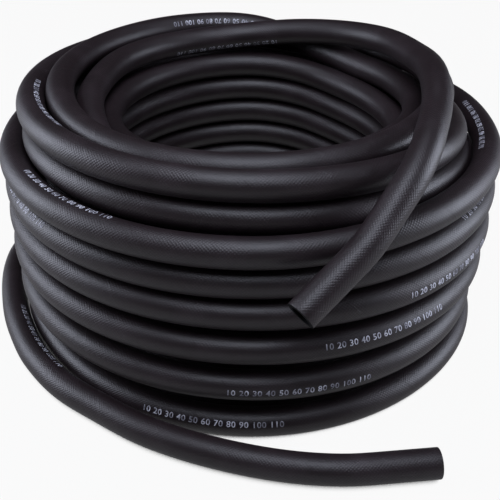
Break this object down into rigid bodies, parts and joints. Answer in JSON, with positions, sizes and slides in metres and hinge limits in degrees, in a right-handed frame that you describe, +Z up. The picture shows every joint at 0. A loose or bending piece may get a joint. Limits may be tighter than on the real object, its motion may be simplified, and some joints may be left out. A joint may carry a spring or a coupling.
{
  "type": "rubber water hose coil",
  "caption": "Heavy black rubber water hose stored as a tall free-standing round coil, with one bare cut end on the floor and one hanging over the front.",
  "frame": {"origin": "middle of the part's box, on the floor", "axes": "+Z up along the coil's axis; -Y is the front, where the hanging end is; +X is the right, towards which the lower cut end points"},
  "size_m": [0.5613, 0.5966, 0.3076],
  "materials": {
    "cover_rubber": "matt, fine wrapped-cloth impression",
    "spiral_yarn": "spiral-wound yarn embedded in rubber",
    "lining_rubber": "smooth extruded rubber"
  },
  "bodies": {
    "root": {"hose_coil": "cover_rubber", "bottom_free_run": "cover_rubber", "top_free_run": "cover_rubber", "bottom_end_cover": "cover_rubber", "bottom_end_outer_ply": "spiral_yarn", "bottom_end_inner_ply": "spiral_yarn", "bottom_end_lining": "lining_rubber", "top_end_cover": "cover_rubber", "top_end_outer_ply": "spiral_yarn", "top_end_inner_ply": "spiral_yarn", "top_end_lining": "lining_rubber"}
  },
  "joints": []
}
